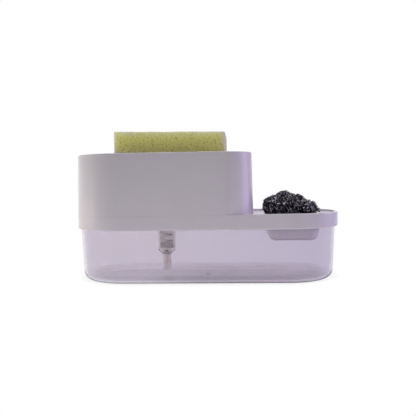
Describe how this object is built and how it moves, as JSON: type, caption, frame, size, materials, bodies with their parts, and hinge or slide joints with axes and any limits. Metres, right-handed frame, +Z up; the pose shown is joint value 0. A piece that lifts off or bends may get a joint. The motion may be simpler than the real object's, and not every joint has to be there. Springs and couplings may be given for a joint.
{
  "type": "soap pump caddy",
  "caption": "Sink caddy with a clear soap tank, a white cover holding a sponge over a spring-return soap pump, and a low side dish with a steel scourer.",
  "frame": {"origin": "middle of the tank's flat underside, which stands on the worktop", "axes": "+X along the caddy towards the scourer dish, -Y towards the front, +Z up"},
  "size_m": [0.235, 0.1, 0.13],
  "materials": {
    "clear_plastic": "clear polished",
    "white_plastic": "satin",
    "natural_plastic": "translucent",
    "gasket_rubber": "soft",
    "ball_steel": "polished",
    "spring_steel": "drawn wire",
    "sponge_foam": "open-cell foam",
    "scourer_steel": "tangled steel ribbon"
  },
  "bodies": {
    "tank": {"tank": "clear_plastic"},
    "cover": {"cover": "white_plastic", "neck_gasket": "gasket_rubber", "screw_collar": "white_plastic", "pump_barrel": "natural_plastic", "dip_tube": "natural_plastic", "ball_retainer": "natural_plastic", "pump_chaplet": "white_plastic", "pump_spring": "spring_steel"},
    "plunger": {"press_plate": "white_plastic", "outlet_cap": "white_plastic", "pump_stem": "white_plastic", "pump_piston": "natural_plastic", "piston_seat": "natural_plastic"},
    "inlet_ball": {"inlet_ball": "ball_steel"},
    "outlet_ball": {"outlet_ball": "ball_steel"},
    "sponge": {"sponge": "sponge_foam"},
    "scrubber": {"scrubber": "scourer_steel"}
  },
  "joints": [
    {"name": "cover_lift", "type": "slide", "parent": "tank", "child": "cover", "axis": [0, 0, 1], "range_m": [0, 0.06]},
    {"name": "pump_press", "type": "slide", "parent": "cover", "child": "plunger", "axis": [0, 0, -1], "range_m": [0, 0.013], "stiffness_N_per_m": 900, "springref_m": -0.007, "deforming": ["pump_spring"]},
    {"name": "inlet_ball_lift", "type": "slide", "parent": "cover", "child": "inlet_ball", "axis": [0, 0, 1], "range_m": [0, 0.0015]},
    {"name": "outlet_ball_lift", "type": "slide", "parent": "plunger", "child": "outlet_ball", "axis": [0, 0, 1], "range_m": [0, 0.0012]},
    {"name": "sponge_lift", "type": "slide", "parent": "plunger", "child": "sponge", "axis": [0, 0, 1], "range_m": [0, 0.05]},
    {"name": "scrubber_lift", "type": "slide", "parent": "cover", "child": "scrubber", "axis": [0, 0, 1], "range_m": [0, 0.05]}
  ]
}
